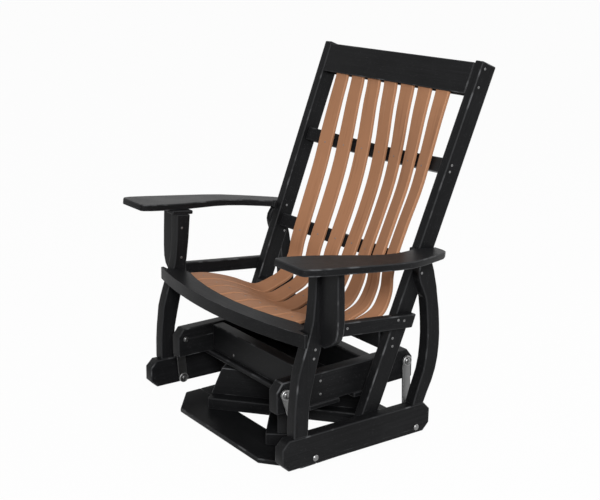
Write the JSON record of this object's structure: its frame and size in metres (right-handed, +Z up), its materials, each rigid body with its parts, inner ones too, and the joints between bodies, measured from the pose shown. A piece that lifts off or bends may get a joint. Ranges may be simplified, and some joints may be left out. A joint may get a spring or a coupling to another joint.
{
  "type": "swivel glider chair",
  "caption": "High-backed outdoor armchair with a slatted, dished seat and back, hung by swinging links from a box frame that turns on a low crossed base, so it glides and swivels.",
  "frame": {"origin": "on the floor, under the middle of the part's bounding box; the swivel axis stands 79.8 mm in front of it", "axes": "+X to the sitter's left, +Y from the front of the chair to its back, +Z up"},
  "size_m": [0.9926, 0.766, 1.1026],
  "materials": {
    "black_lumber": "black plastic lumber with a fine pale fleck, lightly grained",
    "brown_lumber": "light brown plastic lumber with a wood-like streak",
    "steel": "plain stainless steel"
  },
  "bodies": {
    "base": {"floor_board_front": "black_lumber", "floor_board_rear": "black_lumber", "floor_board_left": "black_lumber", "floor_board_right": "black_lumber", "plank_long": "black_lumber", "plank_front": "black_lumber", "plank_rear": "black_lumber", "stand_long": "black_lumber", "stand_front": "black_lumber", "stand_rear": "black_lumber", "swivel_plate_lower": "steel", "swivel_pin": "steel"},
    "swivel_frame": {"swivel_plate_upper": "steel", "box_bottom_front": "black_lumber", "box_bottom_rear": "black_lumber", "box_side_left": "black_lumber", "box_side_right": "black_lumber", "box_cross_front": "black_lumber", "box_cross_rear": "black_lumber", "bolt_upper_front_left": "steel", "bolt_upper_front_right": "steel", "bolt_upper_rear_left": "steel", "bolt_upper_rear_right": "steel"},
    "link_rear_left": {"link_rear_left": "steel"},
    "link_rear_right": {"link_rear_right": "steel"},
    "link_front_left": {"link_front_left": "steel"},
    "link_front_right": {"link_front_right": "steel"},
    "chair": {"rail_left": "black_lumber", "rail_right": "black_lumber", "bolt_lower_front_left": "steel", "bolt_lower_front_right": "steel", "bolt_lower_rear_left": "steel", "bolt_lower_rear_right": "steel", "front_leg_left": "black_lumber", "front_leg_right": "black_lumber", "rear_leg_left": "black_lumber", "rear_leg_right": "black_lumber", "stile_left": "black_lumber", "stile_right": "black_lumber", "seat_rail_left": "black_lumber", "seat_rail_right": "black_lumber", "arm_left": "black_lumber", "arm_right": "black_lumber", "arm_bracket_left": "black_lumber", "arm_bracket_right": "black_lumber", "arm_pad_left": "black_lumber", "arm_pad_right": "black_lumber", "apron": "black_lumber", "under_board": "black_lumber", "rear_board": "black_lumber", "back_rail_lower": "black_lumber", "back_rail_upper": "black_lumber", "top_rail": "black_lumber", "slat_1": "brown_lumber", "slat_2": "brown_lumber", "slat_3": "brown_lumber", "slat_4": "brown_lumber", "slat_5": "brown_lumber", "slat_6": "brown_lumber", "slat_7": "brown_lumber"}
  },
  "joints": [
    {"name": "swivel", "type": "hinge", "parent": "base", "child": "swivel_frame", "pos_m": [0, -0.0798, 0.15], "axis": [0, 0, 1], "continuous": true},
    {"name": "glide", "type": "hinge", "parent": "swivel_frame", "child": "link_rear_left", "pos_m": [0.295, 0.1402, 0.225], "axis": [1, 0, 0], "range_deg": [-12, 12]},
    {"name": "glide_rear_right", "type": "hinge", "parent": "swivel_frame", "child": "link_rear_right", "pos_m": [-0.295, 0.1402, 0.225], "axis": [1, 0, 0], "range_deg": [-12, 12]},
    {"name": "glide_front_left", "type": "hinge", "parent": "swivel_frame", "child": "link_front_left", "pos_m": [0.295, -0.2998, 0.225], "axis": [1, 0, 0], "range_deg": [-13, 13]},
    {"name": "glide_front_right", "type": "hinge", "parent": "swivel_frame", "child": "link_front_right", "pos_m": [-0.295, -0.2998, 0.225], "axis": [1, 0, 0], "range_deg": [-13, 13]},
    {"name": "chair_level", "type": "hinge", "parent": "link_rear_left", "child": "chair", "pos_m": [0.334, 0.10454, 0.05275], "axis": [1, 0, 0], "range_deg": [-15, 15]}
  ],
  "couplings": [
    {"joint": "glide_rear_right", "follows": "glide", "ratio": 1},
    {"joint": "glide_front_left", "follows": "glide", "ratio": 1.0564},
    {"joint": "glide_front_right", "follows": "glide", "ratio": 1.0564},
    {"joint": "chair_level", "follows": "glide", "ratio": -1.1992}
  ]
}
